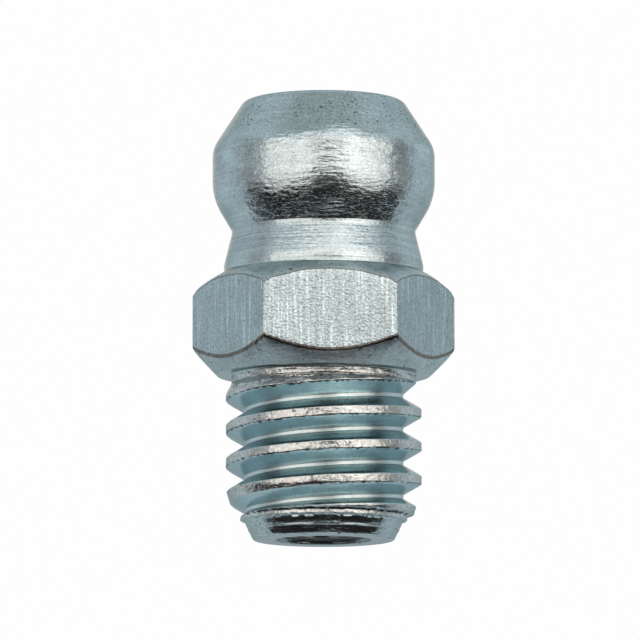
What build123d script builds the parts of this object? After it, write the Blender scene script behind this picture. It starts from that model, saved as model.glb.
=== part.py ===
from build123d import *
import math
import os

# Sizes are in millimetres. The origin is on the axis, in the plane of the hexagon's seating face.
# +Z points to the coupler head and the threaded tip points to -Z.

# Thread, M6 x 1 right-hand, rolled to the low side of its tolerance.
PITCH = 1.0
CREST_RADIUS = 2.905
CREST_FLAT = 0.24
ROOT_FLAT = 0.13
FLANK_ANGLE = 30.0
CREST_BREAK_DEPTH = 0.05
CREST_BREAK_ANGLE = 50.0
WASHOUT_ANGLE = 45.0
WASHOUT_OVERRUN = 0.03
CUTTER_OVERREACH = 0.02

# Shank below the hexagon, thread start and curled-in tip.
SHANK_LENGTH = 4.91
UNDERCUT_FILLET = 0.20
RELIEF_DEPTH = 0.16
RELIEF_LENGTH = 0.27
RELIEF_TAPER_LENGTH = 0.33
START_TAPER_DEPTH = 0.245
START_TAPER_LENGTH = 0.71
START_STEP_LENGTH = 0.14
TIP_CONE_LENGTH = 0.61
TIP_CONE_ANGLE = 25.0
TIP_CONE_STEP = 0.01
TIP_ROUND = 0.10

# Hexagon, 7 mm spanner size at the low end of its tolerance.
ACROSS_FLATS = 6.80
HEX_HEIGHT = 3.05
CORNER_ROUND = 0.30
WASHER_FACE_WIDTH = 0.22
LOWER_CHAMFER_DROP = 0.79
UPPER_CHAMFER_DROP = 0.67
CHAMFER_ARC = 3.1

# Neck and coupler head.
NECK_FOOT_RADIUS = 2.96
NECK_FOOT_HEIGHT = 0.25
NECK_FLARE_LENGTH = 0.93
WAIST_RADIUS = 2.73
WAIST_LAND = 0.11
HEAD_RADIUS = 3.305
HEAD_LOWER_ANGLE = 31.0
HEAD_LOWER_ARC = 1.80
HEAD_BAND_LENGTH = 0.71
HEAD_UPPER_ANGLE = 33.0
HEAD_UPPER_ARC = 0.90
HEAD_NOSE_LENGTH = 1.71
HEAD_EDGE_ROUND = 0.30

# Check ball, its seat and the grease channel.
BALL_RADIUS = 1.25
BALL_BELOW_TOP = 0.08
BALL_BORE_CLEARANCE = 0.10
BALL_SEAT_GAP = 0.03
SEAT_ANGLE = 45.0
SEAT_LAND = 0.084
INLET_COUNTERSINK = 0.15
LEDGE_ANGLE = 60.0
LIP_THICKNESS = 0.35

# Spring under the ball.
WIRE_RADIUS = 0.125
WIRE_CONTACT_GAP = 0.02
SPRING_BORE_CLEARANCE = 0.075
SPRING_LEDGE_OVERLAP = 0.08
SPRING_ACTIVE_TURNS = 8
SPRING_CLOSED_TURNS = 1
SPRING_CLOSED_GAP = 0.03
POINTS_PER_TURN = 24


def slope(angle):
    return math.tan(math.radians(angle))


THREAD_DEPTH = (PITCH - CREST_FLAT - ROOT_FLAT) / (2 * slope(FLANK_ANGLE))
ROOT_RADIUS = CREST_RADIUS - THREAD_DEPTH
RELIEF_RADIUS = CREST_RADIUS - RELIEF_DEPTH
WASHOUT_RISE = (RELIEF_RADIUS + WASHOUT_OVERRUN - ROOT_RADIUS) / slope(WASHOUT_ANGLE)
GROOVE_END_Z = -UNDERCUT_FILLET - WASHOUT_RISE
TIP_CONE_RADIUS = ROOT_RADIUS + TIP_CONE_STEP
TIP_CONE_Z = TIP_CONE_LENGTH - SHANK_LENGTH
THREAD_START_Z = TIP_CONE_Z + START_STEP_LENGTH

CORNER_RADIUS = ACROSS_FLATS / math.sqrt(3)
WASHER_FACE_RADIUS = RELIEF_RADIUS + UNDERCUT_FILLET + WASHER_FACE_WIDTH

WAIST_Z = HEX_HEIGHT + NECK_FOOT_HEIGHT + NECK_FLARE_LENGTH
LOWER_CONE_RADIUS = HEAD_RADIUS - HEAD_LOWER_ARC * (1 - math.cos(math.radians(HEAD_LOWER_ANGLE)))
LOWER_CONE_Z = WAIST_Z + WAIST_LAND + (LOWER_CONE_RADIUS - WAIST_RADIUS) / slope(HEAD_LOWER_ANGLE)
HEAD_BAND_FROM_Z = LOWER_CONE_Z + HEAD_LOWER_ARC * math.sin(math.radians(HEAD_LOWER_ANGLE))
HEAD_BAND_TO_Z = HEAD_BAND_FROM_Z + HEAD_BAND_LENGTH
HEAD_TOP_Z = HEAD_BAND_TO_Z + HEAD_NOSE_LENGTH

BALL_REST_Z = HEAD_TOP_Z - BALL_BELOW_TOP - BALL_RADIUS
SEAT_CONTACT_RADIUS = BALL_RADIUS * math.cos(math.radians(SEAT_ANGLE))
SEAT_CONTACT_Z = (BALL_REST_Z + BALL_RADIUS * math.sin(math.radians(SEAT_ANGLE))
                  + BALL_SEAT_GAP / math.sin(math.radians(SEAT_ANGLE)))
INLET_RADIUS = SEAT_CONTACT_RADIUS - SEAT_LAND
BORE_RADIUS = BALL_RADIUS + BALL_BORE_CLEARANCE
SPRING_MEAN_RADIUS = BORE_RADIUS - SPRING_BORE_CLEARANCE - WIRE_RADIUS
OUTLET_RADIUS = SPRING_MEAN_RADIUS - SPRING_LEDGE_OVERLAP
LEDGE_FOOT_Z = LIP_THICKNESS - SHANK_LENGTH


def lines(*points):
    return [Line(a, b) for a, b in zip(points, points[1:])]


def turned(segments):
    """A solid of revolution about Z from a closed chain of lines and arcs in the XZ plane."""
    return revolve(make_face(Plane.XZ * Curve(segments)), Axis.Z)


def end_edge(solid, index):
    """The circle at the lowest (0) or highest (-1) end of a turned solid."""
    return solid.edges().filter_by(GeomType.CIRCLE).sort_by(Axis.Z)[index]


def shank_envelope():
    """The shank's outline without its thread: relief, crests, tapered thread start and tip."""
    tip_radius = TIP_CONE_RADIUS - TIP_CONE_LENGTH * slope(TIP_CONE_ANGLE)
    top = HEX_HEIGHT / 2
    envelope = turned(lines(
        (0, top), (0, -SHANK_LENGTH), (tip_radius, -SHANK_LENGTH), (TIP_CONE_RADIUS, TIP_CONE_Z),
        (CREST_RADIUS - START_TAPER_DEPTH, THREAD_START_Z),
        (CREST_RADIUS, THREAD_START_Z + START_TAPER_LENGTH),
        (CREST_RADIUS, -RELIEF_LENGTH - RELIEF_TAPER_LENGTH), (RELIEF_RADIUS, -RELIEF_LENGTH),
        (RELIEF_RADIUS, top), (0, top)))
    return fillet(end_edge(envelope, 0), TIP_ROUND)


def relief_root():
    """Filleted root of the shank where it meets the washer face of the hexagon."""
    top = (RELIEF_RADIUS + UNDERCUT_FILLET, 0)
    bottom = (RELIEF_RADIUS, -UNDERCUT_FILLET)
    return turned([RadiusArc(bottom, top, UNDERCUT_FILLET)]
                  + lines(top, (0, 0), (0, -UNDERCUT_FILLET), bottom))


def groove(start_z, rise, cone_angle):
    """A stretch of the thread's V groove, with crests broken at its shoulders."""
    half_root = ROOT_FLAT / 2
    shoulder = CREST_RADIUS - CREST_BREAK_DEPTH
    outer = CREST_RADIUS + CUTTER_OVERREACH
    half_shoulder = half_root + (shoulder - ROOT_RADIUS) * slope(FLANK_ANGLE)
    half_outer = half_shoulder + (outer - shoulder) * slope(CREST_BREAK_ANGLE)
    section = Polyline((ROOT_RADIUS, -half_root), (shoulder, -half_shoulder), (outer, -half_outer),
                       (outer, half_outer), (shoulder, half_shoulder), (ROOT_RADIUS, half_root),
                       close=True)
    path = Helix(PITCH, rise, ROOT_RADIUS, center=(0, 0, start_z), cone_angle=cone_angle)
    return sweep(Pos(0, 0, start_z) * make_face(Plane.XZ * section), path, is_frenet=True)


def threaded_shank():
    """The helical groove in a round blank, its washout below the hexagon, then the envelope."""
    length = HEX_HEIGHT / 2 + SHANK_LENGTH
    blank = Pos(0, 0, length / 2 - SHANK_LENGTH) * Cylinder(CREST_RADIUS, length)
    thread_rise = math.ceil((GROOVE_END_Z + SHANK_LENGTH) / PITCH) * PITCH
    blank -= groove(GROOVE_END_Z - thread_rise, thread_rise, 0)
    blank -= groove(GROOVE_END_Z, WASHOUT_RISE, WASHOUT_ANGLE)
    return (blank & shank_envelope()) + relief_root()


def hexagon():
    """Spanner hexagon with broken corners, domed chamfers and a flat washer face below."""
    outline = RegularPolygon(CORNER_RADIUS, 6)
    prism = extrude(fillet(outline.vertices(), CORNER_ROUND), HEX_HEIGHT)
    lower_start = (WASHER_FACE_RADIUS, 0)
    lower_end = (CORNER_RADIUS, LOWER_CHAMFER_DROP)
    upper_start = (CORNER_RADIUS, HEX_HEIGHT - UPPER_CHAMFER_DROP)
    upper_end = (NECK_FOOT_RADIUS, HEX_HEIGHT)
    dome = turned(
        lines((0, 0), lower_start)
        + [RadiusArc(lower_start, lower_end, -CHAMFER_ARC)]
        + lines(lower_end, upper_start)
        + [RadiusArc(upper_start, upper_end, -CHAMFER_ARC)]
        + lines(upper_end, (0, HEX_HEIGHT), (0, 0)))
    return prism & dome


def neck_and_head():
    """Flared neck, waist and the double-coned coupler head."""
    upper_cone = (HEAD_RADIUS - HEAD_UPPER_ARC * (1 - math.cos(math.radians(HEAD_UPPER_ANGLE))),
                  HEAD_BAND_TO_Z + HEAD_UPPER_ARC * math.sin(math.radians(HEAD_UPPER_ANGLE)))
    top = (upper_cone[0] - (HEAD_TOP_Z - upper_cone[1]) * slope(HEAD_UPPER_ANGLE), HEAD_TOP_Z)
    lower_cone = (LOWER_CONE_RADIUS, LOWER_CONE_Z)
    band_from = (HEAD_RADIUS, HEAD_BAND_FROM_Z)
    band_to = (HEAD_RADIUS, HEAD_BAND_TO_Z)
    foot_top = (NECK_FOOT_RADIUS, HEX_HEIGHT + NECK_FOOT_HEIGHT)
    head = turned(
        lines((0, 0), (NECK_FOOT_RADIUS, 0), foot_top, (WAIST_RADIUS, WAIST_Z),
              (WAIST_RADIUS, WAIST_Z + WAIST_LAND), lower_cone)
        + [RadiusArc(lower_cone, band_from, -HEAD_LOWER_ARC)]
        + lines(band_from, band_to)
        + [RadiusArc(band_to, upper_cone, -HEAD_UPPER_ARC)]
        + lines(upper_cone, top, (0, HEAD_TOP_Z), (0, 0)))
    return fillet(end_edge(head, -1), HEAD_EDGE_ROUND)


def grease_channel():
    """Inlet, ball seat, bore, the ledge inside the curled-in lip and the outlet."""
    seat_top_z = SEAT_CONTACT_Z + SEAT_LAND / slope(SEAT_ANGLE)
    seat_foot_z = SEAT_CONTACT_Z - (BORE_RADIUS - SEAT_CONTACT_RADIUS) / slope(SEAT_ANGLE)
    ledge_top_z = LEDGE_FOOT_Z + (BORE_RADIUS - OUTLET_RADIUS) / slope(LEDGE_ANGLE)
    return turned(lines(
        (0, -SHANK_LENGTH), (OUTLET_RADIUS, -SHANK_LENGTH), (OUTLET_RADIUS, LEDGE_FOOT_Z),
        (BORE_RADIUS, ledge_top_z), (BORE_RADIUS, seat_foot_z), (INLET_RADIUS, seat_top_z),
        (INLET_RADIUS, HEAD_TOP_Z - INLET_COUNTERSINK),
        (INLET_RADIUS + INLET_COUNTERSINK, HEAD_TOP_Z), (0, HEAD_TOP_Z), (0, -SHANK_LENGTH)))


def nipple_body():
    return threaded_shank() + hexagon() + neck_and_head() - grease_channel()


def check_ball():
    return Pos(0, 0, BALL_REST_Z) * Sphere(BALL_RADIUS)


def ball_spring():
    """Round wire with a closed turn at each end, from the lip's ledge up to the ball."""
    foot_z = (LEDGE_FOOT_Z + SPRING_LEDGE_OVERLAP / slope(LEDGE_ANGLE)
              + (WIRE_RADIUS + WIRE_CONTACT_GAP) / math.sin(math.radians(LEDGE_ANGLE)))
    reach = BALL_RADIUS + WIRE_RADIUS + WIRE_CONTACT_GAP
    top_z = BALL_REST_Z - math.sqrt(reach**2 - SPRING_MEAN_RADIUS**2)
    closed_pitch = 2 * WIRE_RADIUS + SPRING_CLOSED_GAP
    closed_rise = closed_pitch * SPRING_CLOSED_TURNS
    active_pitch = (top_z - foot_z - 2 * closed_rise) / SPRING_ACTIVE_TURNS
    turns = SPRING_ACTIVE_TURNS + 2 * SPRING_CLOSED_TURNS
    points = []
    for step in range(turns * POINTS_PER_TURN + 1):
        turn = step / POINTS_PER_TURN
        active = min(max(turn - SPRING_CLOSED_TURNS, 0), SPRING_ACTIVE_TURNS)
        height = foot_z + (turn - active) * closed_pitch + active * active_pitch
        angle = 2 * math.pi * turn
        points.append((SPRING_MEAN_RADIUS * math.cos(angle), SPRING_MEAN_RADIUS * math.sin(angle),
                       height))
    path = Spline(points)
    wire = Plane(origin=path @ 0, z_dir=path % 0) * Circle(WIRE_RADIUS)
    return sweep(wire, path, is_frenet=True)


if __name__ == "__main__":
    os.makedirs("parts", exist_ok=True)
    for name, make in (("nipple_body", nipple_body), ("check_ball", check_ball),
                       ("ball_spring", ball_spring)):
        part = make()
        print(name, "valid" if part.is_valid else "INVALID", round(part.volume, 3),
              part.bounding_box())
        export_step(part.solid(), f"parts/{name}.step")
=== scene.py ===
# A straight grease nipple for an M6 x 1 hole, turned from free-cutting steel, with a rolled thread and a
# blue-white zinc coat. A steel ball on a small spring closes the hole in its head. The thread holds it
# in the machine, and a spanner turns it by the hexagon.

import math

import bpy
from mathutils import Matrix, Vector, noise


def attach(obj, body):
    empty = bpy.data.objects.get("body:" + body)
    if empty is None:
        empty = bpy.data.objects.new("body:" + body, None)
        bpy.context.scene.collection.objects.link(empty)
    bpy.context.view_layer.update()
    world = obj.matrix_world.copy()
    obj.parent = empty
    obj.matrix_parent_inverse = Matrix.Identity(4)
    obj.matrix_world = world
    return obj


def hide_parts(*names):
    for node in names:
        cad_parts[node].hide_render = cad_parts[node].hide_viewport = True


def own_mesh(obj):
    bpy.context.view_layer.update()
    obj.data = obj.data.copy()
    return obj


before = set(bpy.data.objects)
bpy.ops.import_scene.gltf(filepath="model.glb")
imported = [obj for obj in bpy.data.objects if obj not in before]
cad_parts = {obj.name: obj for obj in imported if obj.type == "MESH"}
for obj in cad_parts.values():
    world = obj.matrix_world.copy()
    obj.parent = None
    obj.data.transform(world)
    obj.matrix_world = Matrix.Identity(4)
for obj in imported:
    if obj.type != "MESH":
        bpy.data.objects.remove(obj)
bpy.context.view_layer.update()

# The threaded shank, zinc-plated steel with a rolled M6 x 1 thread, below the hexagon's seating face at
# z = 0. Rolling left its crests broken and slightly torn, its coned tip is curled in to hold the spring,
# and a relief lets it seat. Sizes are in millimetres, and profiles are (radius, height).

# A dark line painted just under each crest and at the foot of the last lip's face is painted shadow.
MM = 0.001

PITCH = 1.0
CREST_RADIUS = 2.905
ROOT_RADIUS = 2.3594
HALF_ROOT = 0.055
ROOT_BLEND = 0.01
FLANK_SLOPE = math.tan(math.radians(30))
WORN_FLANK_SLOPE = math.tan(math.radians(41))
CREST_BREAK = 0.09
CREST_BREAK_SLOPE = math.tan(math.radians(40))
GROOVE_END_Z = -0.6156
WASHOUT_TURNS = 0.4156
GROOVE_TURNS = 6  # the topmost, which runs out in the relief, is turn 0
THREAD_FOOT_Z = -4.358
RELIEF_FOOT_Z = -0.6
RELIEF_TOP_Z = -0.06
SHANK_OUTLINE = (  # (height, radius) before the groove is cut
    (-4.91, 2.085), (-4.358, 2.343), (-4.332, 2.44), (-4.315, 2.476), (-4.215, 2.472), (-4.18, 2.55),
    (-4.14, 2.67), (-3.45, 2.905), (-0.60, 2.905), (-0.27, 2.75), (-0.255, 2.722), (-0.235, 2.722),
    (-0.22, 2.748), (0.5, 2.745))
CREST_WANDER = 0.012
RELIEF_WANDER = 0.016
WORN_TURNS = (-0.45, -0.05)
NICKED_FLANK = (0.30, 0.36, 0.44)  # above the root: first nicks, full depth, end
NICK_DEPTH = 0.024
# Heights above the root where the flank just under each crest is painted dark, as painted shadow.
PAINTED_SHADOW_LINE = (0.375, 0.43)
PAINTED_SHADOW_LINE_WAVE = 0.05
PAINTED_SHADOW_LINE_NICK = 0.035
LAST_LIP_WAVE = 0.02
LAST_LIP_REACH_Z = -4.1
LAST_LIP_FACE = (-4.222, -4.17, -4.13)  # foot, end of its painted shadow, top
CREST_FOOT_Z = -4.32
GROOVE_ROWS = (0.03, 0.05, 0.065, 0.09, 0.15, 0.20, 0.25, 0.30, 0.325, 0.345, 0.37, 0.39, 0.41, 0.425,
               0.445)
LAST_LIP_ROWS = (-4.332, -4.318, -4.311, -4.265, -4.219, -4.212, -4.19, -4.168, -4.14)
RELIEF_RING_ROWS = (-0.285, -0.27, -0.255, -0.235, -0.22, -0.205)
CLOSEST_ROW = 0.012
THREAD_KEY = 100
SEAT_KEY = 201
SHANK_COLUMNS = 400

TIP_Z = -4.91
OUTLET_RIM = 1.43
RIM_DROP = 0.004
TIP_FACE_RADII = (OUTLET_RIM + 0.02, 1.50, 1.60, 1.70, 1.80, 1.92)
TIP_ROUND = ((2.0213, -4.81), 0.10, -90, -25)
DENTED_CONE = ((2.141, -4.79), (2.168, -4.732))
LAND_FOOT = (2.196, -4.68)
WAVY_LAND = ((2.208, -4.65), (2.216, -4.641), (2.234, -4.634), (2.2375, -4.628), (2.2345, -4.590),
             (2.237, -4.582), (2.25, -4.565))
PLAIN_CONE = ((2.282, -4.505), (2.314, -4.43), (2.338, -4.37))
DENT = 0.010
LAND_WAVE = 0.014
LAND_TEAR = 0.006

SEAT_FILLET = ((2.805, -0.06), 0.06, 180, 90)
SEAT_EDGE = (3.165, 0.0)
SEAT_RING = ((2.84, 0.0), (2.90, 0.0), (2.975, 0.0), (3.005, -0.006), (3.03, 0.0), (3.08, 0.0),
             (3.13, -0.002), SEAT_EDGE)

ZINC = (0.49, 0.57, 0.59)
CREST_ZINC = (0.58, 0.60, 0.59)
# Tone of the painted shadow lines on the thread.
PAINTED_SHADOW_TONE = (0.07, 0.075, 0.075)
FLANK_ZINC = (0.47, 0.60, 0.63)
ROOT_ZINC = (0.57, 0.68, 0.72)


def blend(low, high, value):
    """Smooth step from 0 to 1 between low and high."""
    t = min(max((value - low) / (high - low), 0.0), 1.0)
    return t * t * (3 - 2 * t)


def along(points, x):
    """Value of a broken line of (x, value) points at x."""
    for (x0, y0), (x1, y1) in zip(points, points[1:]):
        if x <= x1:
            return y0 + (y1 - y0) * (x - x0) / (x1 - x0)
    return points[-1][1]


def uneven(angle, frequency, height=0.0):
    """Repeatable unevenness between about -1 and 1 that closes on itself round the axis."""
    return noise.noise(Vector((frequency * math.cos(angle), frequency * math.sin(angle), height)))


def arc(centre, radius, start, end, steps):
    """Points on an arc in the profile, with angles in degrees above the horizontal."""
    points = []
    for i in range(steps + 1):
        angle = math.radians(start + (end - start) * i / steps)
        points.append((centre[0] + radius * math.cos(angle), centre[1] + radius * math.sin(angle)))
    return points


def groove_radius(distance, slope):
    """Radius of the V groove at a distance along the axis from the middle of its root."""
    if distance <= HALF_ROOT:
        return ROOT_RADIUS
    shoulder = CREST_RADIUS - CREST_BREAK
    half_shoulder = HALF_ROOT + (shoulder - ROOT_RADIUS) * slope
    if distance <= half_shoulder:
        return ROOT_RADIUS + (distance - HALF_ROOT) / slope
    return shoulder + (distance - half_shoulder) / CREST_BREAK_SLOPE


def lip_wave(angle):
    """Raggedness of the last lip of thread at the tip."""
    return LAST_LIP_WAVE * uneven(angle, 16)


def thread_point(angle, z):
    """Radius and finish of the threaded shank at an angle and height."""
    turn = angle / (2 * math.pi)
    torn = max(0.0, uneven(angle, 24, 3 * z)) + 0.6 * max(0.0, uneven(angle, 9, 2 * z + 5))
    level = z + lip_wave(angle) if z < LAST_LIP_REACH_Z else z
    radius = min(CREST_RADIUS, along(SHANK_OUTLINE, level))
    radius -= CREST_WANDER * (0.5 + uneven(angle, 5, 3 * z))
    if z > RELIEF_FOOT_Z:
        radius += RELIEF_WANDER * uneven(angle, 4, 9 * z)
    finish = "crest" if level > CREST_FOOT_Z else "tip"
    face_foot, face_middle, face_top = LAST_LIP_FACE
    if face_foot < level < face_top:
        # The foot of the last lip's face is painted dark in places, as painted shadow.
        finish = "painted_shadow_line" if level < face_middle and uneven(angle, 11, 2) > -0.05 else "tip"
    nick_foot, nick_full, nick_top = NICKED_FLANK
    for k in range(GROOVE_TURNS):
        if k == 0 and turn > WASHOUT_TURNS:
            continue
        above = z - (GROOVE_END_Z + turn - k * PITCH)
        slope = FLANK_SLOPE
        if above > 0:
            slope += (WORN_FLANK_SLOPE - FLANK_SLOPE) * blend(*WORN_TURNS, turn - k)
        groove = groove_radius(abs(above), slope) + (turn if k == 0 else 0.0)
        if nick_foot < above < nick_top and k:
            groove += NICK_DEPTH * torn * blend(nick_foot, nick_full, above)
        if groove < radius:
            radius = groove
            finish = "root" if abs(above) < HALF_ROOT + ROOT_BLEND else "flank"
            # A ragged band just under the crest above is painted dark, as painted shadow, over the real
            # nicks.
            shadow_from = PAINTED_SHADOW_LINE[0] + PAINTED_SHADOW_LINE_WAVE * uneven(angle, 26, z)
            shadow_from -= PAINTED_SHADOW_LINE_NICK * abs(uneven(angle, 7, z))
            if shadow_from < above < PAINTED_SHADOW_LINE[1]:
                finish = "painted_shadow_line"
    return radius, finish


def thread_rows(angle):
    """Heights of the mesh rows that follow the thread at this angle."""
    offsets = sorted([0.0, 0.5] + list(GROOVE_ROWS) + [1 - row for row in GROOVE_ROWS])
    turn = angle / (2 * math.pi)
    heights = [GROOVE_END_Z + turn - k * PITCH + offset
               for k in range(GROOVE_TURNS) for offset in offsets]
    heights = [z for z in heights if THREAD_FOOT_Z + CLOSEST_ROW < z < RELIEF_TOP_Z - CLOSEST_ROW]
    return sorted(heights + [z - lip_wave(angle) for z in LAST_LIP_ROWS] + list(RELIEF_RING_ROWS))


def tip_rows(angle):
    """From the outlet's rim over the curled end face and up the tip's cone."""
    dent = DENT * uneven(angle, 6)
    wave = LAND_WAVE * uneven(angle, 7, 3) + LAND_TEAR * uneven(angle, 20, 3)
    rows = [(OUTLET_RIM, TIP_Z + RIM_DROP)] + [(r, TIP_Z) for r in TIP_FACE_RADII]
    rows += arc(*TIP_ROUND, 6)
    rows += [(r + dent, z) for r, z in DENTED_CONE]
    rows += [LAND_FOOT] + [(r, z + wave) for r, z in WAVY_LAND]
    rows += PLAIN_CONE
    return [(r, z, "tip") for r, z in rows]


def seat_rows():
    """Fillet under the hexagon and its flat seating ring."""
    return [(r, z, "seat") for r, z in arc(*SEAT_FILLET, 6)[1:] + list(SEAT_RING)]


def shank_column(angle):
    """One column of the shank as (key, radius, height, finish). Keys line neighbours up."""
    rows = [(index, *row) for index, row in enumerate(tip_rows(angle))]
    span = RELIEF_TOP_Z - THREAD_FOOT_Z
    for z in [THREAD_FOOT_Z] + thread_rows(angle) + [RELIEF_TOP_Z]:
        radius, finish = thread_point(angle, z)
        rows.append((THREAD_KEY + 100 * (z - THREAD_FOOT_Z) / span, radius, z, finish))
    rows += [(SEAT_KEY + index, *row) for index, row in enumerate(seat_rows())]
    return rows


def stitch(left, right):
    """Faces and their finishes between two neighbouring columns of (key, point, finish)."""
    faces, finishes = [], []
    i = j = 0
    while i + 1 < len(left) or j + 1 < len(right):
        a, b = left[i], right[j]
        key_a = left[i + 1][0] if i + 1 < len(left) else math.inf
        key_b = right[j + 1][0] if j + 1 < len(right) else math.inf
        if key_a == key_b:
            faces.append((a[1], b[1], right[j + 1][1], left[i + 1][1]))
            i, j = i + 1, j + 1
        elif key_a < key_b:
            faces.append((a[1], b[1], left[i + 1][1]))
            i += 1
        else:
            faces.append((a[1], b[1], right[j + 1][1]))
            j += 1
        finishes.append(a[2])
    return faces, finishes


def turned_skin(name, angles, column, finishes):
    """A surface of columns round the axis, in the given finishes, on the nipple's body."""
    points, columns = [], []
    for angle in angles:
        keyed = []
        for key, radius, z, finish in column(angle):
            keyed.append((key, len(points), finish))
            points.append((radius * math.cos(angle) * MM, radius * math.sin(angle) * MM, z * MM))
        columns.append(keyed)
    faces, used = [], []
    for left, right in zip(columns, columns[1:] + columns[:1]):
        strip, strip_finishes = stitch(left, right)
        faces += strip
        used += strip_finishes
    mesh = bpy.data.meshes.new(name)
    mesh.from_pydata(points, [], faces)
    names = list(finishes)
    for finish in names:
        mesh.materials.append(finishes[finish])
    mesh.polygons.foreach_set("material_index", [names.index(finish) for finish in used])
    mesh.polygons.foreach_set("use_smooth", [True] * len(faces))
    mesh.update()
    skin = bpy.data.objects.new(name, mesh)
    bpy.context.scene.collection.objects.link(skin)
    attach(skin, "nipple")
    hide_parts("nipple_body")


def rings(count):
    """Angles of evenly spaced columns."""
    return [2 * math.pi * step / count for step in range(count)]


EDGE_TINT = (0.6, 0.65, 0.65)
CLOUD_GRAIN = (0.9, 0.9, 1.2)
CLOUD_RANGE = (0.3, 0.7)
SPECK_GRAIN = (10, 10, 15)
PATCH_GRAIN = (1.7, 1.7, 1.7)
PATCH_PULL = 0.35
PIT_LEVELS = (0.76, 0.84)
PIT_SPREAD = 0.12
PIT_COVER = 0.85
PIT_TONE = (0.07, 0.07, 0.065)
TONE_SWING = 3.0
SCORE_LEVEL = 0.54
SCORE_SWING = 9.0
TONE_RANGE = (0.45, 1.55)
GLOSS_RANGE = (0.75, 1.3)
MARK_HEIGHT = 0.00002


def zinc(name, tone=ZINC, gloss=0.22, marks=(1.2, 1.2, 14), ring_marks=14, mark_depth=0.3,
         ripple=(3, 3, 6), ripple_depth=0.3, grit=14, grit_depth=0.15, mottle=0.12, fleck=0.10, streak=0.06,
         scores=0.0, pits=0.35):
    """Zinc coat: tool marks, soft ripples, fine grit, cloudy tone, flecks and small dark pits.

    Grains are in features per millimetre, and ring_marks adds turned rings that follow the radius."""
    material = bpy.data.materials.new(name)
    material.use_nodes = True
    nodes, links = material.node_tree.nodes, material.node_tree.links
    shader = nodes["Principled BSDF"]
    shader.inputs["Metallic"].default_value = 1.0
    shader.inputs["Specular Tint"].default_value = (*EDGE_TINT, 1)
    place = nodes.new("ShaderNodeTexCoord")

    def scaled(scale):
        mapping = nodes.new("ShaderNodeMapping")
        mapping.inputs["Scale"].default_value = [1000 * s for s in scale]
        links.new(place.outputs["Object"], mapping.inputs["Vector"])
        return mapping.outputs["Vector"]

    def texture(vector, detail, roughness=0.5, ring=None):
        cloud = nodes.new("ShaderNodeTexNoise")
        cloud.inputs["Scale"].default_value = 1.0
        cloud.inputs["Detail"].default_value = detail
        cloud.inputs["Roughness"].default_value = roughness
        links.new(vector, cloud.inputs["Vector"])
        if ring:
            cloud.noise_dimensions = "4D"
            links.new(ring, cloud.inputs["W"])
        return cloud.outputs["Fac"]

    def calculate(operation, first, second):
        result = nodes.new("ShaderNodeMath")
        result.operation = operation
        for socket, value in zip(result.inputs, (first, second)):
            if isinstance(value, (int, float)):
                socket.default_value = value
            else:
                links.new(value, socket)
        return result.outputs[0]

    def swung(height, amount):
        return calculate("MULTIPLY", calculate("SUBTRACT", height, 0.5), amount)

    def raised(height, depth, below=None):
        bump = nodes.new("ShaderNodeBump")
        bump.inputs["Strength"].default_value = min(depth, 1.0)
        bump.inputs["Distance"].default_value = MARK_HEIGHT * max(depth, 1.0)
        links.new(height, bump.inputs["Height"])
        if below:
            links.new(below, bump.inputs["Normal"])
        return bump.outputs["Normal"]

    from_axis = nodes.new("ShaderNodeVectorMath")
    from_axis.operation = "LENGTH"
    links.new(scaled((1, 1, 0)), from_axis.inputs[0])
    ring = calculate("MULTIPLY", from_axis.outputs["Value"], ring_marks)

    clouds = texture(scaled(CLOUD_GRAIN), 4, 0.6)
    lines = texture(scaled(marks), 4, 0.6, ring)
    swell = texture(scaled(ripple), 3, 0.55)
    grain = texture(scaled((grit, grit, grit)), 2, 0.6)

    specks = texture(scaled(SPECK_GRAIN), 1)
    patches = texture(scaled(PATCH_GRAIN), 2)
    dark = calculate("ADD", specks, swung(patches, PATCH_PULL))
    pit = nodes.new("ShaderNodeMapRange")
    pit.inputs["From Min"].default_value = PIT_LEVELS[0] - PIT_SPREAD * pits
    pit.inputs["From Max"].default_value = PIT_LEVELS[1] - PIT_SPREAD * pits
    pit.inputs["To Max"].default_value = PIT_COVER
    links.new(dark, pit.inputs["Value"])

    value = swung(clouds, TONE_SWING * mottle)
    value = calculate("ADD", value, swung(grain, TONE_SWING * fleck))
    value = calculate("ADD", value, swung(lines, TONE_SWING * streak))
    over = calculate("MAXIMUM", calculate("SUBTRACT", lines, SCORE_LEVEL), 0.0)
    value = calculate("ADD", value, calculate("MULTIPLY", over, SCORE_SWING * scores))
    value = calculate("ADD", value, 0.5)
    shade = nodes.new("ShaderNodeValToRGB")
    shade.color_ramp.elements[0].position = 0.0
    shade.color_ramp.elements[1].position = 1.0
    shade.color_ramp.elements[0].color = (*[TONE_RANGE[0] * t for t in tone], 1)
    shade.color_ramp.elements[1].color = (*[min(TONE_RANGE[1] * t, 1) for t in tone], 1)
    links.new(value, shade.inputs["Fac"])
    coat = nodes.new("ShaderNodeMix")
    coat.data_type = "RGBA"
    links.new(pit.outputs["Result"], coat.inputs["Factor"])
    links.new(shade.outputs["Color"], coat.inputs["A"])
    coat.inputs["B"].default_value = (*PIT_TONE, 1)
    links.new(coat.outputs["Result"], shader.inputs["Base Color"])

    shine = nodes.new("ShaderNodeMapRange")
    shine.inputs["From Min"].default_value = CLOUD_RANGE[0]
    shine.inputs["From Max"].default_value = CLOUD_RANGE[1]
    shine.inputs["To Min"].default_value = gloss * GLOSS_RANGE[0]
    shine.inputs["To Max"].default_value = gloss * GLOSS_RANGE[1]
    links.new(clouds, shine.inputs["Value"])
    links.new(shine.outputs["Result"], shader.inputs["Roughness"])

    normal = raised(swell, ripple_depth)
    normal = raised(lines, mark_depth, normal)
    normal = raised(grain, grit_depth, normal)
    links.new(normal, shader.inputs["Normal"])
    return material


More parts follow.
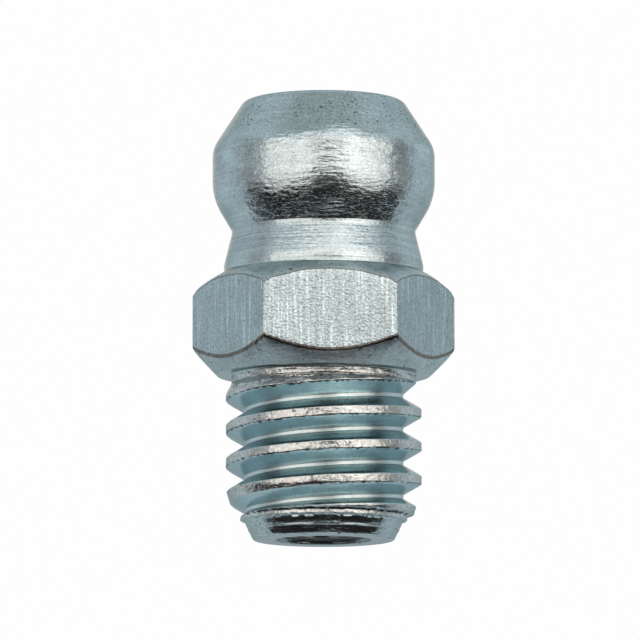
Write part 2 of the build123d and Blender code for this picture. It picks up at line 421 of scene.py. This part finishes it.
turned_skin("threaded_shank", rings(SHANK_COLUMNS), shank_column, {
    "tip": zinc("tip_zinc", mark_depth=0.35, marks=(2, 2, 10), ripple=(4, 4, 9), ripple_depth=0.6,
                grit_depth=0.15, fleck=0.22, pits=0.9, gloss=0.2),
    "crest": zinc("crest_zinc", tone=CREST_ZINC, marks=(5, 5, 14), mark_depth=0.5, ripple=(5, 5, 5),
                  ripple_depth=1.5, fleck=0.3, pits=0.8),
    # painted shadow: the dark line under each crest and at the foot of the last lip's face
    "painted_shadow_line": zinc("painted_shadow_line_zinc", tone=PAINTED_SHADOW_TONE, marks=(8, 8, 8), ring_marks=0, mark_depth=0.6,
                      fleck=0.4, streak=0.4, mottle=0.3),
    "flank": zinc("flank_zinc", tone=FLANK_ZINC, marks=(1.5, 1.5, 16), mark_depth=0.15,
                  ripple_depth=0.15, grit_depth=0.05, pits=0.08),
    "root": zinc("root_zinc", tone=ROOT_ZINC, marks=(1, 1, 12), mark_depth=0.1, ripple_depth=0.15,
                 grit_depth=0.03, pits=0.05, gloss=0.28),
    "seat": zinc("seat_zinc", marks=(0.6, 0.6, 16), mark_depth=0.25, ripple=(4, 4, 4), ripple_depth=0.35,
                 grit_depth=0.05, pits=0.1, gloss=0.16)})

# The hexagon, in one with the shank, from drawn hexagon bar of zinc-plated steel. Its six flats keep the
# drawing lines and its corners the die's rounds, and a domed chamfer is turned above and below, whose
# edges carry a thin torn burr. The burrs and the top of the lower dome are painted dark, as painted
# shade along the flats' edges.

APOTHEM = 3.385
CORNER_ROUNDS = (0.10, 0.12, 0.10, 0.09, 0.07, 0.14)
CORNER_TURN = 60
NECK_FOOT_RADIUS = 2.96
LOW_EDGE_Z = 0.401
LOW_EDGE_RISE = 0.816
LOW_DOME_BEND = (0.06, 0.19)
LOW_DOME_STEPS = (0.0, 0.1, 0.2, 0.32, 0.45, 0.58, 0.7, 0.8, 0.88, 0.94, 0.98)
# From this step up, the lower dome is painted dark, as painted shade under the flat's edge.
PAINTED_SHADE_FROM_STEP = 0.78
LOW_BURR = ((0.006, 0.0), (0.002, 0.012))
HIGH_BURR = (0.004, 0.022)
HIGH_BREAK = (0.014, 0.006)
LOW_EDGE_TEAR = 0.020
LOW_EDGE_NICK = 0.012
HIGH_EDGE_TEAR = 0.008
HIGH_EDGE = ((3.385, 2.775), (3.44, 2.749), (3.50, 2.714), (3.58, 2.637), (3.69, 2.56), (3.80, 2.50),
             (3.89, 2.37))
UPPER_DOME_CENTRE = (1.708, 0.214)
UPPER_DOME_RADIUS = 3.1
UPPER_DOME_START = 0.03
FLAT_FOOT = 0.03
FLAT_TRIM = 0.07
FLAT_ROWS = 14
UPPER_DOME_ROWS = 11
CORNER_COLUMNS = (-2.2, -1.4, -1.0, -0.75, -0.55, -0.38, -0.24, -0.12, 0.0, 0.12, 0.24, 0.38, 0.55, 0.75,
                  1.0, 1.4, 2.2)
CORNER_REACH = 2.5
FLAT_ZINC = (0.45, 0.535, 0.565)
# Tone of the painted shade along the flats' edges, on the burrs and the top of the lower dome.
PAINTED_SHADE_BURR_ZINC = (0.22, 0.20, 0.18)


def prism_radius(angle):
    """Distance of the hexagon's side from the axis, with its corners rounded."""
    half_turn = CORNER_TURN / 2
    off_corner = (math.degrees(angle) + half_turn) % CORNER_TURN - half_turn
    corner_round = CORNER_ROUNDS[round(math.degrees(angle) / CORNER_TURN) % len(CORNER_ROUNDS)]
    flat = APOTHEM / math.cos(math.radians(half_turn - abs(off_corner)))
    centre = (APOTHEM - corner_round) / math.cos(math.radians(half_turn))
    reach = math.radians(off_corner)
    inside = corner_round**2 - (centre * math.sin(reach))**2
    if inside <= 0:
        return flat
    return min(flat, centre * math.cos(reach) + math.sqrt(inside))


def dome_z(radius):
    """Height of the upper domed chamfer at a radius."""
    return UPPER_DOME_CENTRE[1] + math.sqrt(UPPER_DOME_RADIUS**2 - (radius - UPPER_DOME_CENTRE[0])**2)


def hexagon_column(angle):
    """Lower dome, its torn edge, the flat and the upper dome at this angle."""
    side = prism_radius(angle)
    torn = LOW_EDGE_TEAR * uneven(angle, 24) + LOW_EDGE_NICK * uneven(angle, 60)
    low = LOW_EDGE_Z + LOW_EDGE_RISE * (side - APOTHEM) + torn
    high = along(HIGH_EDGE, side) + HIGH_EDGE_TEAR * uneven(angle, 30, 4)
    bend = (side - LOW_DOME_BEND[0], low - LOW_DOME_BEND[1])
    rows = []
    # Near the flat, the lower dome is painted dark, as painted shade.
    for t in LOW_DOME_STEPS:
        r = (1 - t)**2 * SEAT_EDGE[0] + 2 * t * (1 - t) * bend[0] + t * t * side
        z = (1 - t)**2 * SEAT_EDGE[1] + 2 * t * (1 - t) * bend[1] + t * t * low
        rows.append((r, z, "dome" if t < PAINTED_SHADE_FROM_STEP else "burr"))
    rows += [(side - inset, low + rise, "burr") for inset, rise in LOW_BURR]
    rows += [(side, low + FLAT_FOOT + (high - low - FLAT_TRIM) * i / FLAT_ROWS, "flat")
             for i in range(FLAT_ROWS + 1)]
    rows[-1] = (side, rows[-1][1], "burr")
    rows += [(side - HIGH_BURR[0], high - HIGH_BURR[1], "burr"),
             (side - HIGH_BREAK[0], high - HIGH_BREAK[1], "dome")]
    start = side - UPPER_DOME_START
    for i in range(1, UPPER_DOME_ROWS + 1):
        r = start + (NECK_FOOT_RADIUS - side + UPPER_DOME_START) * i / UPPER_DOME_ROWS
        share = (r - NECK_FOOT_RADIUS) / (side - NECK_FOOT_RADIUS)
        rows.append((r, dome_z(r) + (high - dome_z(side)) * share, "dome"))
    return [(index, *row) for index, row in enumerate(rows)]


def hexagon_angles():
    """Columns closer together over the rounded corners."""
    half_turn = CORNER_TURN / 2
    corners = range(0, 360, CORNER_TURN)
    angles = {(corner + offset) % 360 for corner in corners for offset in CORNER_COLUMNS}
    angles |= {float(a) for a in range(360)
               if abs((a + half_turn) % CORNER_TURN - half_turn) > CORNER_REACH}
    return [math.radians(a) for a in sorted(angles)]


turned_skin("hexagon", hexagon_angles(), hexagon_column, {
    "flat": zinc("drawn_flat_zinc", tone=FLAT_ZINC, marks=(11, 11, 0.45), ring_marks=0, mark_depth=1.7,
                 scores=0.35, ripple=(4, 4, 2), ripple_depth=0.4, grit=15, grit_depth=1.1, mottle=0.08,
                 fleck=0.38, streak=0.16, pits=0.4, gloss=0.2),
    "dome": zinc("dome_zinc", marks=(1, 1, 6), ring_marks=10, mark_depth=0.5, ripple_depth=0.8, mottle=0.4,
                 fleck=0.3, pits=0.8, grit_depth=0.3, gloss=0.38),
    # painted shade along the flats' edges, on the real burrs and the top of the lower dome
    "burr": zinc("painted_shade_burr_zinc", tone=PAINTED_SHADE_BURR_ZINC, marks=(12, 12, 12), mark_depth=0.5, fleck=0.5, mottle=0.3,
                 gloss=0.3)})

# The neck and the coupler head, turned in one with the hexagon and zinc plated: a flared neck, a cone up
# to the rounded band that the coupler's jaws close on, and a coned nose with a flat top round the inlet.

HEX_HEIGHT = 3.05
NECK_FOOT = ((NECK_FOOT_RADIUS + 0.012, HEX_HEIGHT), (NECK_FOOT_RADIUS, HEX_HEIGHT + 0.03),
             (NECK_FOOT_RADIUS, 3.12), (NECK_FOOT_RADIUS, 3.20), (2.959, 3.26))
FLARE_FOOT = (2.955, 3.31)
FLARE_TOP = (2.737, 4.19)
WAIST_Z = 4.34
WAIST = ((2.731, 4.235), (2.73, 4.27), (2.73, WAIST_Z - 0.012))
LOWER_CONE_FOOT = (2.733, WAIST_Z)
LOWER_CONE_TOP = (3.048, 4.869)
HEAD_RADIUS = 3.305
HEAD_BAND_Z = (5.796, 6.506)
LOWER_ARC = ((1.505, 5.796), 1.80, -31, 0)
UPPER_ARC = ((2.405, 6.506), 0.90, 0, 33)
NOSE_FOOT = (3.160, 6.996)
TOP_EDGE = ((2.205, 7.916), 0.30, 33, 90)
TOP_Z = 8.216
TOP_FACE_RADII = (2.05, 1.8, 1.5, 1.3, 1.15, 1.03, 0.97)
INLET_RADIUS = 0.80
COUNTERSINK = 0.15
HEAD_COLUMNS = 360


def straight(start, end, steps):
    """Points on a straight run in the profile, without its first one."""
    return [(start[0] + (end[0] - start[0]) * i / steps, start[1] + (end[1] - start[1]) * i / steps)
            for i in range(1, steps + 1)]


def head_column(angle):
    """Neck foot, flare, waist, lower cone, band, nose cone and flat top."""
    neck = list(NECK_FOOT) + straight(FLARE_FOOT, FLARE_TOP, 12) + list(WAIST)
    head = [LOWER_CONE_FOOT] + straight(LOWER_CONE_FOOT, LOWER_CONE_TOP, 8)
    head += arc(*LOWER_ARC, 16)[1:]
    head += straight((HEAD_RADIUS, HEAD_BAND_Z[0]), (HEAD_RADIUS, HEAD_BAND_Z[1]), 9)
    head += arc(*UPPER_ARC, 12)[1:]
    nose = straight(NOSE_FOOT, arc(*TOP_EDGE, 1)[0], 11)
    nose += arc(*TOP_EDGE, 9)[1:]
    nose += [(r, TOP_Z) for r in TOP_FACE_RADII]
    nose += [(INLET_RADIUS + COUNTERSINK, TOP_Z - RIM_DROP)]
    rows = [(r, z, "neck") for r, z in neck] + [(r, z, "head") for r, z in head]
    rows += [(r, z, "nose") for r, z in nose]
    return [(index, *row) for index, row in enumerate(rows)]


turned_skin("neck_and_head", rings(HEAD_COLUMNS), head_column, {
    "neck": zinc("neck_zinc", marks=(0.35, 0.35, 13), mark_depth=0.8, ripple=(5, 5, 9), ripple_depth=0.7,
                 grit_depth=0.15, fleck=0.2, streak=0.24, pits=0.2, gloss=0.19),
    "head": zinc("head_zinc", marks=(0.9, 0.9, 12), mark_depth=0.8, ripple=(3, 3, 7), ripple_depth=1.6,
                 grit_depth=0.15, mottle=0.25, fleck=0.24, streak=0.16, pits=0.45, gloss=0.17),
    "nose": zinc("nose_zinc", marks=(0.8, 0.8, 12), mark_depth=0.3, ripple_depth=0.4, grit_depth=0.2,
                 fleck=0.40, streak=0.18, pits=0.95)})

# The grease channel, drilled through the steel from the tip: the countersunk inlet, the coned seat that
# the ball closes, the bore that holds the spring, and the curled lip that keeps it in. Its inside is
# painted darker, as painted shade in the bore, and the mouth inside the curled lip darker still.

OUTLET_RADIUS = 1.07
BORE_RADIUS = 1.35
CHANNEL_PROFILE = (
    (0.95, 8.212), (0.88, 8.145), (0.812, 8.078), (INLET_RADIUS, 8.05), (INLET_RADIUS, 7.93),
    (INLET_RADIUS, 7.8965), (0.884, 7.8125), (1.10, 7.596), (1.33, 7.366), (BORE_RADIUS, 7.33),
    (BORE_RADIUS, 6.5), (BORE_RADIUS, 5.0), (BORE_RADIUS, 3.0), (BORE_RADIUS, 1.0), (BORE_RADIUS, -1.0),
    (BORE_RADIUS, -3.0), (BORE_RADIUS, -4.38), (1.345, -4.40), (1.21, -4.479), (1.08, -4.554),
    (OUTLET_RADIUS, -4.58), (OUTLET_RADIUS, -4.72), (1.075, -4.74), (1.10, -4.755), (1.30, -4.765),
    (1.36, -4.772), (1.378, -4.79), (1.388, -4.86), (1.398, -4.89), (1.41, -4.901),
    (OUTLET_RIM, TIP_Z + RIM_DROP))
# Heights inside the curled lip that are painted darkest, as painted shade.
PAINTED_SHADE_MOUTH_Z = (-4.78, -4.60)
CHANNEL_COLUMNS = 160
# The channel is painted darker than the outside, as painted shade in the bore.
PAINTED_SHADE_CHANNEL_ZINC = (0.30, 0.34, 0.34)
PAINTED_SHADE_MOUTH_ZINC = (0.13, 0.14, 0.14)


def channel_column(angle):
    """From the countersink at the inlet down to the rolled mouth."""
    return [(index, r, z, "mouth" if PAINTED_SHADE_MOUTH_Z[0] < z < PAINTED_SHADE_MOUTH_Z[1] else "channel")
            for index, (r, z) in enumerate(CHANNEL_PROFILE)]


turned_skin("grease_channel", rings(CHANNEL_COLUMNS), channel_column, {
    "channel": zinc("painted_shade_channel_zinc", tone=PAINTED_SHADE_CHANNEL_ZINC, marks=(0.6, 0.6, 9), mark_depth=0.4,
                    ripple=(3, 3, 3), ripple_depth=1.2, gloss=0.25, fleck=0.4, pits=0.6),
    # painted shade inside the curled lip
    "mouth": zinc("painted_shade_mouth_zinc", tone=PAINTED_SHADE_MOUTH_ZINC, gloss=0.3, fleck=0.3)})

# The check ball: hardened and polished bearing steel, dropped into the bore and pressed against the seat
# by its spring. Grease from the coupler pushes it in.

BALL_STEEL = (0.48, 0.49, 0.51)

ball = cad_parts["check_ball"]
ball.data.materials.clear()
ball.data.materials.append(zinc("ball_steel", tone=BALL_STEEL, gloss=0.12, mark_depth=0.02,
                                ripple_depth=0.03, grit_depth=0.02, mottle=0.03, fleck=0.03, pits=0.02))

# The ball's spring: hard-drawn wire wound to a right-hand coil, with one closed turn at each end. It
# stands on the curled lip and is squeezed as the ball is pushed in.

COIL_RADIUS = 1.15
WIRE_RADIUS = 0.125
COIL_FOOT_Z = -4.3464
CLOSED_PITCH = 0.28
ACTIVE_TURNS = 8
ACTIVE_PITCH = 1.2353
COIL_STEPS = 40
WIRE_SIDES = 14
DRAWN_WIRE = (0.36, 0.34, 0.31)


def coil_height(turns):
    """Height of the wire's middle after this many turns from its foot."""
    active = min(max(turns - 1, 0), ACTIVE_TURNS)
    closed = min(turns, 1) + max(turns - 1 - ACTIVE_TURNS, 0)
    return COIL_FOOT_Z + closed * CLOSED_PITCH + active * ACTIVE_PITCH


points, faces = [], []
coil_rows = (ACTIVE_TURNS + 2) * COIL_STEPS
for row in range(coil_rows + 1):
    turns = row / COIL_STEPS
    angle = 2 * math.pi * turns
    for side in range(WIRE_SIDES):
        lean = 2 * math.pi * side / WIRE_SIDES
        radius = COIL_RADIUS + WIRE_RADIUS * math.cos(lean)
        points.append((radius * math.cos(angle) * MM, radius * math.sin(angle) * MM,
                       (coil_height(turns) + WIRE_RADIUS * math.sin(lean)) * MM))
        if row:
            a = (row - 1) * WIRE_SIDES + side
            b = (row - 1) * WIRE_SIDES + (side + 1) % WIRE_SIDES
            faces.append((a, a + WIRE_SIDES, b + WIRE_SIDES, b))
faces.append(tuple(range(WIRE_SIDES)))
faces.append(tuple(reversed(range(coil_rows * WIRE_SIDES, (coil_rows + 1) * WIRE_SIDES))))
mesh = bpy.data.meshes.new("coiled_spring")
mesh.from_pydata(points, [], faces)
mesh.polygons.foreach_set("use_smooth", [len(face) == 4 for face in faces])
mesh.materials.append(zinc("spring_wire", tone=DRAWN_WIRE, gloss=0.25, marks=(3, 3, 3), mark_depth=0.2,
                           ripple_depth=0.1, grit_depth=0.1, pits=0.1))
spring = bpy.data.objects.new("coiled_spring", mesh)
bpy.context.scene.collection.objects.link(spring)
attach(spring, "nipple")
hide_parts("ball_spring")
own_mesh(spring)

# The studio: soft panels whose reflections shape the metal, a plain pale floor that is seen only from
# above, an overhead softbox and a white room. The panels stand on spheres round the nipple and aren't
# seen themselves.

PANEL_COLUMNS = 24
PANEL_ROWS = 12
PANEL_CENTRE_Z = 1.5
TENT = (0.845, 0.945, 1.0)
WARM = (1.0, 0.92, 0.86)
PLAIN = (1.0, 1.0, 1.0)
DARK_CLOTH = (1.0, 0.85, 0.8)
GREY_CLOTH = (0.9, 1.0, 0.97)


def plain_light(name, colour, strength):
    """Even light of one colour."""
    material = bpy.data.materials.new(name)
    material.use_nodes = True
    nodes, links = material.node_tree.nodes, material.node_tree.links
    nodes.remove(nodes["Principled BSDF"])
    light = nodes.new("ShaderNodeEmission")
    light.inputs["Color"].default_value = (*colour, 1)
    light.inputs["Strength"].default_value = strength
    links.new(light.outputs["Emission"], nodes["Material Output"].inputs["Surface"])
    return material


def panel(name, outline, colour, strength, reach=70.0):
    """A curved panel facing the nipple, with its outline as rows of (height, left, right) in degrees.

    Reach is its distance in millimetres, and where two panels overlap the nearer one is reflected."""
    points, faces = [], []
    left_edge = [(height, left) for height, left, right in outline]
    right_edge = [(height, right) for height, left, right in outline]
    for j in range(PANEL_ROWS + 1):
        up = outline[0][0] + (outline[-1][0] - outline[0][0]) * j / PANEL_ROWS
        left, right = along(left_edge, up), along(right_edge, up)
        for i in range(PANEL_COLUMNS + 1):
            azimuth = math.radians(left + (right - left) * i / PANEL_COLUMNS)
            elevation = math.radians(up)
            points.append((reach * math.cos(elevation) * math.sin(azimuth) * MM,
                           -reach * math.cos(elevation) * math.cos(azimuth) * MM,
                           (reach * math.sin(elevation) + PANEL_CENTRE_Z) * MM))
    for j in range(PANEL_ROWS):
        for i in range(PANEL_COLUMNS):
            a = j * (PANEL_COLUMNS + 1) + i
            faces.append((a, a + 1, a + PANEL_COLUMNS + 2, a + PANEL_COLUMNS + 1))
    mesh = bpy.data.meshes.new(name)
    mesh.from_pydata(points, [], faces)
    mesh.materials.append(plain_light(name + "_light", colour, strength))
    board = bpy.data.objects.new(name, mesh)
    bpy.context.scene.collection.objects.link(board)
    board.visible_camera = False
    board.visible_diffuse = False
    board.visible_shadow = False


panel("tent", ((-90, -180, 180), (90, -180, 180)), TENT, 0.675, 76)
panel("front_softbox", ((7.4, -68, 68), (21, -68, 68), (30, -40, 46), (34, -24, 35), (39, -20, 27)),
      WARM, 1.6)
panel("softbox_seam", ((5, -14, 9), (14, -12, 9)), WARM, 0.9, 69.5)
panel("bright_softbox", ((9, 18, 52), (27, 22, 48)), WARM, 2.3, 69)
panel("left_glow", ((-3, -150, -108), (20, -150, -108)), TENT, 0.80, 75)
panel("right_glow", ((-3, 108, 150), (20, 108, 150)), TENT, 0.82, 75)
panel("back_softbox", ((5, 157, 203), (36, 157, 203)), WARM, 1.0)
panel("left_side_panel", ((-22, -62, -24), (4.9, -68, -9)), WARM, 1.3)
panel("right_side_panel", ((-22, 26, 62), (4.9, 16, 68)), WARM, 1.35)
panel("dark_middle", ((-22, -24, 26), (4.9, -8.9, 15.9)), WARM, 0.16, 69)
panel("groove_light", ((4.9, -75, 4), (7.3, -72, 4)), PLAIN, 1.1, 68)
panel("groove_bright", ((4.9, 4.1, 32), (7.3, 4.1, 34)), PLAIN, 2.7, 68)
panel("groove_dark", ((4.9, 34.1, 110), (7.3, 34.1, 108)), PLAIN, 0.45, 68)
panel("dark_front_low", ((-60, -78, 76), (-50, -92, 88), (-42, -100, 96), (-34, -110, 106),
                         (-22, -102, 100)), DARK_CLOTH, 0.02)
panel("dark_left_low", ((-22, -98, -62.1), (-14, -92, -66)), PLAIN, 0.12)
panel("dark_right_low", ((-22, 62.1, 96), (-14, 66, 92)), PLAIN, 0.08)
panel("grey_low", ((-88, -110, 110), (-60.1, -110, 110)), TENT, 0.45)
panel("dim_left_strip", ((7.6, -98, -69), (26, -96, -68)), PLAIN, 0.40)
panel("dim_left_strip_low", ((-16, -98, -70), (4.6, -98, -70)), PLAIN, 0.40)
panel("dim_right_strip", ((7.6, 69, 96), (26, 68, 94)), PLAIN, 0.28)
panel("dim_right_strip_low", ((-16, 70, 96), (4.6, 70, 96)), PLAIN, 0.30)
panel("high_glow", ((44, 4, 40), (60, 2, 44)), PLAIN, 1.5, 68)
panel("low_glow", ((-76, 0, 50), (-60.5, 4, 42)), PLAIN, 1.0, 68)
panel("dim_overhead", ((56, -70, 70), (88, -90, 90)), GREY_CLOTH, 0.48)

FLOOR_REACH = 900.0
FLOOR_PAINT = (0.93, 0.93, 0.93)
FLOOR_FADE = (0.05, 0.6)

reach = FLOOR_REACH * MM
floor_mesh = bpy.data.meshes.new("floor")
floor_mesh.from_pydata([(-reach, -reach, TIP_Z * MM), (reach, -reach, TIP_Z * MM),
                        (reach, reach, TIP_Z * MM), (-reach, reach, TIP_Z * MM)], [], [(0, 1, 2, 3)])
floor_paint = bpy.data.materials.new("pale_floor")
floor_paint.use_nodes = True
nodes, links = floor_paint.node_tree.nodes, floor_paint.node_tree.links
nodes["Principled BSDF"].inputs["Base Color"].default_value = (*FLOOR_PAINT, 1)
nodes["Principled BSDF"].inputs["Roughness"].default_value = 0.8
nodes["Principled BSDF"].inputs["Specular IOR Level"].default_value = 0.0
underside = nodes.new("ShaderNodeNewGeometry")
place = nodes.new("ShaderNodeTexCoord")
distance = nodes.new("ShaderNodeVectorMath")
distance.operation = "LENGTH"
links.new(place.outputs["Object"], distance.inputs[0])
fade = nodes.new("ShaderNodeMapRange")
fade.interpolation_type = "SMOOTHSTEP"
fade.inputs["From Min"].default_value = FLOOR_FADE[0]
fade.inputs["From Max"].default_value = FLOOR_FADE[1]
links.new(distance.outputs["Value"], fade.inputs["Value"])
hidden = nodes.new("ShaderNodeMath")
hidden.operation = "MAXIMUM"
links.new(underside.outputs["Backfacing"], hidden.inputs[0])
links.new(fade.outputs["Result"], hidden.inputs[1])
clear = nodes.new("ShaderNodeBsdfTransparent")
one_sided = nodes.new("ShaderNodeMixShader")
links.new(hidden.outputs[0], one_sided.inputs["Fac"])
links.new(nodes["Principled BSDF"].outputs["BSDF"], one_sided.inputs[1])
links.new(clear.outputs["BSDF"], one_sided.inputs[2])
links.new(one_sided.outputs["Shader"], nodes["Material Output"].inputs["Surface"])
floor_mesh.materials.append(floor_paint)
floor = bpy.data.objects.new("floor", floor_mesh)
bpy.context.scene.collection.objects.link(floor)
floor.visible_glossy = False

LAMP_PLACE = Vector((-0.05, -0.03, 0.12))
LAMP_SIZE = 0.12
LAMP_POWER = 0.07

lamp = bpy.data.lights.new("overhead_softbox", "AREA")
lamp.shape = "DISK"
lamp.size = LAMP_SIZE
lamp.energy = LAMP_POWER
overhead = bpy.data.objects.new("overhead_softbox", lamp)
bpy.context.scene.collection.objects.link(overhead)
overhead.location = LAMP_PLACE
overhead.rotation_euler = LAMP_PLACE.to_track_quat("Z", "Y").to_euler()
overhead.visible_camera = False
overhead.visible_glossy = False

ROOM_WHITE = (0.99, 0.99, 0.99)
ROOM_LIGHT = 0.7
ROOM_SEEN = 1.0

world = bpy.data.worlds.new("white_room")
bpy.context.scene.world = world
world.use_nodes = True
nodes, links = world.node_tree.nodes, world.node_tree.links
path = nodes.new("ShaderNodeLightPath")
seen = nodes.new("ShaderNodeMath")
seen.operation = "MAXIMUM"
links.new(path.outputs["Is Camera Ray"], seen.inputs[0])
links.new(path.outputs["Is Glossy Ray"], seen.inputs[1])
also = nodes.new("ShaderNodeMath")
also.operation = "MAXIMUM"
links.new(seen.outputs[0], also.inputs[0])
links.new(path.outputs["Is Transmission Ray"], also.inputs[1])
level = nodes.new("ShaderNodeMapRange")
level.inputs["To Min"].default_value = ROOM_LIGHT
level.inputs["To Max"].default_value = ROOM_SEEN
links.new(also.outputs[0], level.inputs["Value"])
links.new(level.outputs["Result"], nodes["Background"].inputs["Strength"])
nodes["Background"].inputs["Color"].default_value = (*ROOM_WHITE, 1)

# The camera, with a long lens, looking slightly up and from a little to the left of the front flat, so
# that the underside of the hexagon and the tip's cone show.

AZIMUTH = math.radians(-3.3)
ELEVATION = math.radians(-7.3)
DISTANCE = 210.0
LENS = 398
SENSOR = 36
TARGET = Vector((-0.11, 0.0, 1.66))

sight = Vector((math.sin(AZIMUTH) * math.cos(ELEVATION), -math.cos(AZIMUTH) * math.cos(ELEVATION),
                math.sin(ELEVATION)))
camera_data = bpy.data.cameras.new("camera")
camera_data.lens = LENS
camera_data.sensor_width = SENSOR
camera_data.clip_start = 0.01
camera = bpy.data.objects.new("camera", camera_data)
bpy.context.scene.collection.objects.link(camera)
camera.location = (TARGET + sight * DISTANCE) * MM
camera.rotation_euler = (-sight).to_track_quat("-Z", "Y").to_euler()
bpy.context.scene.camera = camera
bpy.context.scene.view_settings.view_transform = "Standard"
